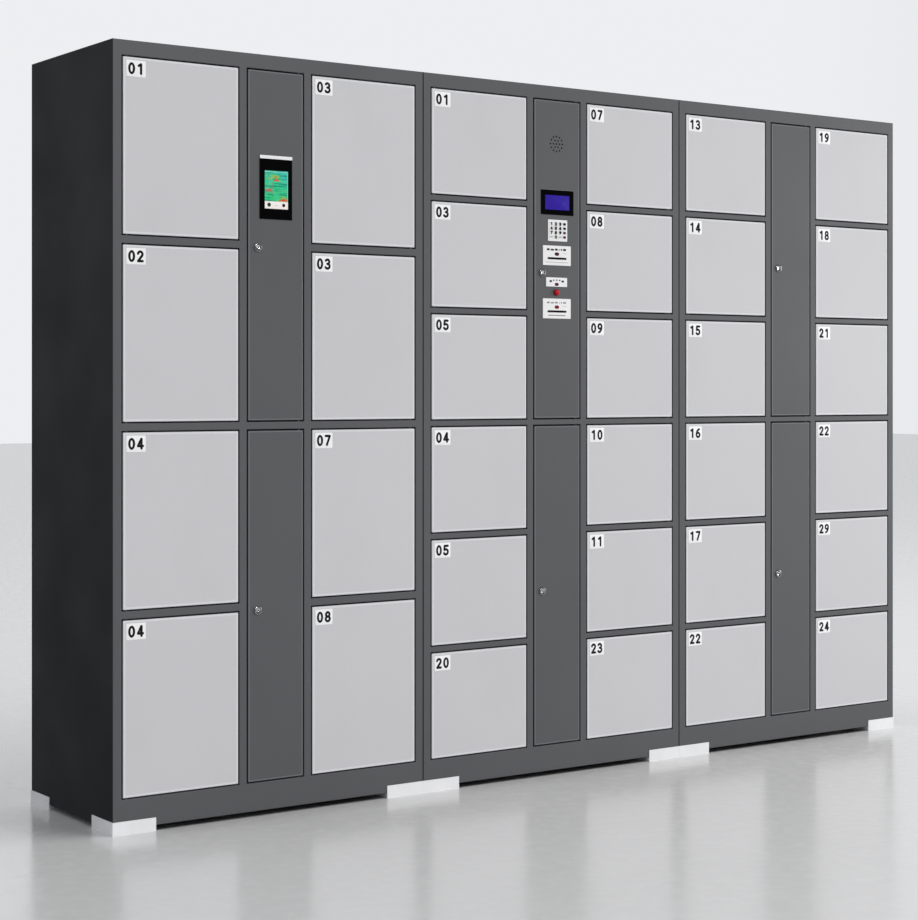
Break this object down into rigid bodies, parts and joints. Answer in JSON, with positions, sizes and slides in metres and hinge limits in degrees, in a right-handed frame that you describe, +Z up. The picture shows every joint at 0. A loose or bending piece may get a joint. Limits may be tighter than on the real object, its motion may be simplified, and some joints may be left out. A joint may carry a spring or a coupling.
{
  "type": "parcel locker",
  "caption": "Floor-standing steel parcel locker bank of joined cabinet modules with numbered hinged doors, service doors, touch terminal, display, keypad and ticket slots.",
  "frame": {"origin": "centre of the bank's footprint on the floor", "axes": "+X along the front from the left module to the right, +Y from the front to the back, +Z up"},
  "size_m": [2.54, 0.4664, 1.8],
  "materials": {
    "frame_paint": "fine textured charcoal powder coat",
    "door_paint": "fine textured light grey powder coat",
    "inner_steel": "grey powder coat",
    "foot_plastic": "white moulded plastic",
    "lock_chrome": "chrome plate",
    "black_plastic": "black moulded plastic",
    "dark_plastic": "dark housings",
    "white_plastic": "white plate",
    "red_plastic": "red button"
  },
  "bodies": {
    "cabinet": {"side_panels": "frame_paint", "top_panels": "frame_paint", "floor_panels": "frame_paint", "back_panels": "frame_paint", "frame_stiles": "frame_paint", "frame_rails": "frame_paint", "partitions": "inner_steel", "shelves": "inner_steel", "corner_feet": "foot_plastic", "electronic_locks": "black_plastic", "control_electronics": "dark_plastic"},
    "door_a_left_1": {"door_a_left_1": "door_paint"},
    "door_a_left_2": {"door_a_left_2": "door_paint"},
    "door_a_left_3": {"door_a_left_3": "door_paint"},
    "door_a_left_4": {"door_a_left_4": "door_paint"},
    "door_a_right_1": {"door_a_right_1": "door_paint"},
    "door_a_right_2": {"door_a_right_2": "door_paint"},
    "door_a_right_3": {"door_a_right_3": "door_paint"},
    "door_a_right_4": {"door_a_right_4": "door_paint"},
    "door_b_left_1": {"door_b_left_1": "door_paint"},
    "door_b_left_2": {"door_b_left_2": "door_paint"},
    "door_b_left_3": {"door_b_left_3": "door_paint"},
    "door_b_left_4": {"door_b_left_4": "door_paint"},
    "door_b_left_5": {"door_b_left_5": "door_paint"},
    "door_b_left_6": {"door_b_left_6": "door_paint"},
    "door_b_right_1": {"door_b_right_1": "door_paint"},
    "door_b_right_2": {"door_b_right_2": "door_paint"},
    "door_b_right_3": {"door_b_right_3": "door_paint"},
    "door_b_right_4": {"door_b_right_4": "door_paint"},
    "door_b_right_5": {"door_b_right_5": "door_paint"},
    "door_b_right_6": {"door_b_right_6": "door_paint"},
    "door_c_left_1": {"door_c_left_1": "door_paint"},
    "door_c_left_2": {"door_c_left_2": "door_paint"},
    "door_c_left_3": {"door_c_left_3": "door_paint"},
    "door_c_left_4": {"door_c_left_4": "door_paint"},
    "door_c_left_5": {"door_c_left_5": "door_paint"},
    "door_c_left_6": {"door_c_left_6": "door_paint"},
    "door_c_right_1": {"door_c_right_1": "door_paint"},
    "door_c_right_2": {"door_c_right_2": "door_paint"},
    "door_c_right_3": {"door_c_right_3": "door_paint"},
    "door_c_right_4": {"door_c_right_4": "door_paint"},
    "door_c_right_5": {"door_c_right_5": "door_paint"},
    "door_c_right_6": {"door_c_right_6": "door_paint"},
    "service_door_a_upper": {"service_door_a_upper": "frame_paint", "touch_terminal": "black_plastic"},
    "cam_lock_a_upper": {"cam_lock_a_upper": "lock_chrome"},
    "service_door_a_lower": {"service_door_a_lower": "frame_paint"},
    "cam_lock_a_lower": {"cam_lock_a_lower": "lock_chrome"},
    "service_door_b_upper": {"service_door_b_upper": "frame_paint", "lcd_display": "black_plastic", "keypad": "white_plastic", "ticket_panels": "white_plastic"},
    "cam_lock_b_upper": {"cam_lock_b_upper": "lock_chrome"},
    "service_door_b_lower": {"service_door_b_lower": "frame_paint"},
    "cam_lock_b_lower": {"cam_lock_b_lower": "lock_chrome"},
    "service_door_c_upper": {"service_door_c_upper": "frame_paint"},
    "cam_lock_c_upper": {"cam_lock_c_upper": "lock_chrome"},
    "service_door_c_lower": {"service_door_c_lower": "frame_paint"},
    "cam_lock_c_lower": {"cam_lock_c_lower": "lock_chrome"},
    "push_button": {"push_button": "red_plastic"}
  },
  "joints": [
    {"name": "door_a_left_1_hinge", "type": "hinge", "parent": "cabinet", "child": "door_a_left_1", "pos_m": [-1.233, -0.222, 1.56113], "axis": [0, 0, -1], "range_deg": [0, 90]},
    {"name": "door_b_left_2_hinge", "type": "hinge", "parent": "cabinet", "child": "door_b_left_2", "pos_m": [-0.387, -0.222, 1.34725], "axis": [0, 0, -1], "range_deg": [0, 90]},
    {"name": "door_b_right_5_hinge", "type": "hinge", "parent": "cabinet", "child": "door_b_right_5", "pos_m": [0.387, -0.222, 0.49775], "axis": [0, 0, 1], "range_deg": [0, 90]},
    {"name": "door_c_right_6_hinge", "type": "hinge", "parent": "cabinet", "child": "door_c_right_6", "pos_m": [1.233, -0.222, 0.21458], "axis": [0, 0, 1], "range_deg": [0, 90]},
    {"name": "door_a_right_3_hinge", "type": "hinge", "parent": "cabinet", "child": "door_a_right_3", "pos_m": [-0.459, -0.222, 0.70962], "axis": [0, 0, 1], "range_deg": [0, 90]},
    {"name": "door_c_left_4_hinge", "type": "hinge", "parent": "cabinet", "child": "door_c_left_4", "pos_m": [0.459, -0.222, 0.78092], "axis": [0, 0, -1], "range_deg": [0, 90]},
    {"name": "service_door_a_upper_hinge", "type": "hinge", "parent": "cabinet", "child": "service_door_a_upper", "pos_m": [-0.781, -0.222, 1.34825], "axis": [0, 0, 1], "range_deg": [0, 90]},
    {"name": "service_door_b_upper_hinge", "type": "hinge", "parent": "cabinet", "child": "service_door_b_upper", "pos_m": [0.065, -0.222, 1.34725], "axis": [0, 0, 1], "range_deg": [0, 90]},
    {"name": "service_door_c_lower_hinge", "type": "hinge", "parent": "cabinet", "child": "service_door_c_lower", "pos_m": [0.911, -0.222, 0.49775], "axis": [0, 0, 1], "range_deg": [0, 90]},
    {"name": "cam_lock_a_upper_turn", "type": "hinge", "parent": "service_door_a_upper", "child": "cam_lock_a_upper", "pos_m": [-0.895, -0.228, 1.343], "axis": [0, 1, 0], "range_deg": [0, 90]},
    {"name": "cam_lock_b_upper_turn", "type": "hinge", "parent": "service_door_b_upper", "child": "cam_lock_b_upper", "pos_m": [-0.049, -0.228, 1.311], "axis": [0, 1, 0], "range_deg": [0, 90]},
    {"name": "push_button_press", "type": "slide", "parent": "service_door_b_upper", "child": "push_button", "axis": [0, 1, 0], "range_m": [0, 0.003], "stiffness_N_per_m": 600, "springref_m": -0.002},
    {"name": "service_door_a_lower_hinge", "type": "hinge", "parent": "cabinet", "child": "service_door_a_lower", "pos_m": [-0.781, -0.222, 0.49675], "axis": [0, 0, 1], "range_deg": [0, 90]},
    {"name": "cam_lock_a_lower_turn", "type": "hinge", "parent": "service_door_a_lower", "child": "cam_lock_a_lower", "pos_m": [-0.895, -0.228, 0.486], "axis": [0, 1, 0], "range_deg": [0, 90]},
    {"name": "service_door_b_lower_hinge", "type": "hinge", "parent": "cabinet", "child": "service_door_b_lower", "pos_m": [0.065, -0.222, 0.49775], "axis": [0, 0, 1], "range_deg": [0, 90]},
    {"name": "cam_lock_b_lower_turn", "type": "hinge", "parent": "service_door_b_lower", "child": "cam_lock_b_lower", "pos_m": [-0.049, -0.228, 0.482], "axis": [0, 1, 0], "range_deg": [0, 90]},
    {"name": "service_door_c_upper_hinge", "type": "hinge", "parent": "cabinet", "child": "service_door_c_upper", "pos_m": [0.911, -0.222, 1.34725], "axis": [0, 0, 1], "range_deg": [0, 90]},
    {"name": "cam_lock_c_upper_turn", "type": "hinge", "parent": "service_door_c_upper", "child": "cam_lock_c_upper", "pos_m": [0.797, -0.228, 1.351], "axis": [0, 1, 0], "range_deg": [0, 90]},
    {"name": "cam_lock_c_lower_turn", "type": "hinge", "parent": "service_door_c_lower", "child": "cam_lock_c_lower", "pos_m": [0.797, -0.228, 0.483], "axis": [0, 1, 0], "range_deg": [0, 90]},
    {"name": "door_a_left_2_hinge", "type": "hinge", "parent": "cabinet", "child": "door_a_left_2", "pos_m": [-1.233, -0.222, 1.13538], "axis": [0, 0, -1], "range_deg": [0, 90]},
    {"name": "door_a_left_3_hinge", "type": "hinge", "parent": "cabinet", "child": "door_a_left_3", "pos_m": [-1.233, -0.222, 0.70962], "axis": [0, 0, -1], "range_deg": [0, 90]},
    {"name": "door_a_left_4_hinge", "type": "hinge", "parent": "cabinet", "child": "door_a_left_4", "pos_m": [-1.233, -0.222, 0.28387], "axis": [0, 0, -1], "range_deg": [0, 90]},
    {"name": "door_a_right_1_hinge", "type": "hinge", "parent": "cabinet", "child": "door_a_right_1", "pos_m": [-0.459, -0.222, 1.56113], "axis": [0, 0, 1], "range_deg": [0, 90]},
    {"name": "door_a_right_2_hinge", "type": "hinge", "parent": "cabinet", "child": "door_a_right_2", "pos_m": [-0.459, -0.222, 1.13538], "axis": [0, 0, 1], "range_deg": [0, 90]},
    {"name": "door_a_right_4_hinge", "type": "hinge", "parent": "cabinet", "child": "door_a_right_4", "pos_m": [-0.459, -0.222, 0.28387], "axis": [0, 0, 1], "range_deg": [0, 90]},
    {"name": "door_b_left_1_hinge", "type": "hinge", "parent": "cabinet", "child": "door_b_left_1", "pos_m": [-0.387, -0.222, 1.63042], "axis": [0, 0, -1], "range_deg": [0, 90]},
    {"name": "door_b_left_3_hinge", "type": "hinge", "parent": "cabinet", "child": "door_b_left_3", "pos_m": [-0.387, -0.222, 1.06408], "axis": [0, 0, -1], "range_deg": [0, 90]},
    {"name": "door_b_left_4_hinge", "type": "hinge", "parent": "cabinet", "child": "door_b_left_4", "pos_m": [-0.387, -0.222, 0.78092], "axis": [0, 0, -1], "range_deg": [0, 90]},
    {"name": "door_b_left_5_hinge", "type": "hinge", "parent": "cabinet", "child": "door_b_left_5", "pos_m": [-0.387, -0.222, 0.49775], "axis": [0, 0, -1], "range_deg": [0, 90]},
    {"name": "door_b_left_6_hinge", "type": "hinge", "parent": "cabinet", "child": "door_b_left_6", "pos_m": [-0.387, -0.222, 0.21458], "axis": [0, 0, -1], "range_deg": [0, 90]},
    {"name": "door_b_right_1_hinge", "type": "hinge", "parent": "cabinet", "child": "door_b_right_1", "pos_m": [0.387, -0.222, 1.63042], "axis": [0, 0, 1], "range_deg": [0, 90]},
    {"name": "door_b_right_2_hinge", "type": "hinge", "parent": "cabinet", "child": "door_b_right_2", "pos_m": [0.387, -0.222, 1.34725], "axis": [0, 0, 1], "range_deg": [0, 90]},
    {"name": "door_b_right_3_hinge", "type": "hinge", "parent": "cabinet", "child": "door_b_right_3", "pos_m": [0.387, -0.222, 1.06408], "axis": [0, 0, 1], "range_deg": [0, 90]},
    {"name": "door_b_right_4_hinge", "type": "hinge", "parent": "cabinet", "child": "door_b_right_4", "pos_m": [0.387, -0.222, 0.78092], "axis": [0, 0, 1], "range_deg": [0, 90]},
    {"name": "door_b_right_6_hinge", "type": "hinge", "parent": "cabinet", "child": "door_b_right_6", "pos_m": [0.387, -0.222, 0.21458], "axis": [0, 0, 1], "range_deg": [0, 90]},
    {"name": "door_c_left_1_hinge", "type": "hinge", "parent": "cabinet", "child": "door_c_left_1", "pos_m": [0.459, -0.222, 1.63042], "axis": [0, 0, -1], "range_deg": [0, 90]},
    {"name": "door_c_left_2_hinge", "type": "hinge", "parent": "cabinet", "child": "door_c_left_2", "pos_m": [0.459, -0.222, 1.34725], "axis": [0, 0, -1], "range_deg": [0, 90]},
    {"name": "door_c_left_3_hinge", "type": "hinge", "parent": "cabinet", "child": "door_c_left_3", "pos_m": [0.459, -0.222, 1.06408], "axis": [0, 0, -1], "range_deg": [0, 90]},
    {"name": "door_c_left_5_hinge", "type": "hinge", "parent": "cabinet", "child": "door_c_left_5", "pos_m": [0.459, -0.222, 0.49775], "axis": [0, 0, -1], "range_deg": [0, 90]},
    {"name": "door_c_left_6_hinge", "type": "hinge", "parent": "cabinet", "child": "door_c_left_6", "pos_m": [0.459, -0.222, 0.21458], "axis": [0, 0, -1], "range_deg": [0, 90]},
    {"name": "door_c_right_1_hinge", "type": "hinge", "parent": "cabinet", "child": "door_c_right_1", "pos_m": [1.233, -0.222, 1.63042], "axis": [0, 0, 1], "range_deg": [0, 90]},
    {"name": "door_c_right_2_hinge", "type": "hinge", "parent": "cabinet", "child": "door_c_right_2", "pos_m": [1.233, -0.222, 1.34725], "axis": [0, 0, 1], "range_deg": [0, 90]},
    {"name": "door_c_right_3_hinge", "type": "hinge", "parent": "cabinet", "child": "door_c_right_3", "pos_m": [1.233, -0.222, 1.06408], "axis": [0, 0, 1], "range_deg": [0, 90]},
    {"name": "door_c_right_4_hinge", "type": "hinge", "parent": "cabinet", "child": "door_c_right_4", "pos_m": [1.233, -0.222, 0.78092], "axis": [0, 0, 1], "range_deg": [0, 90]},
    {"name": "door_c_right_5_hinge", "type": "hinge", "parent": "cabinet", "child": "door_c_right_5", "pos_m": [1.233, -0.222, 0.49775], "axis": [0, 0, 1], "range_deg": [0, 90]}
  ]
}
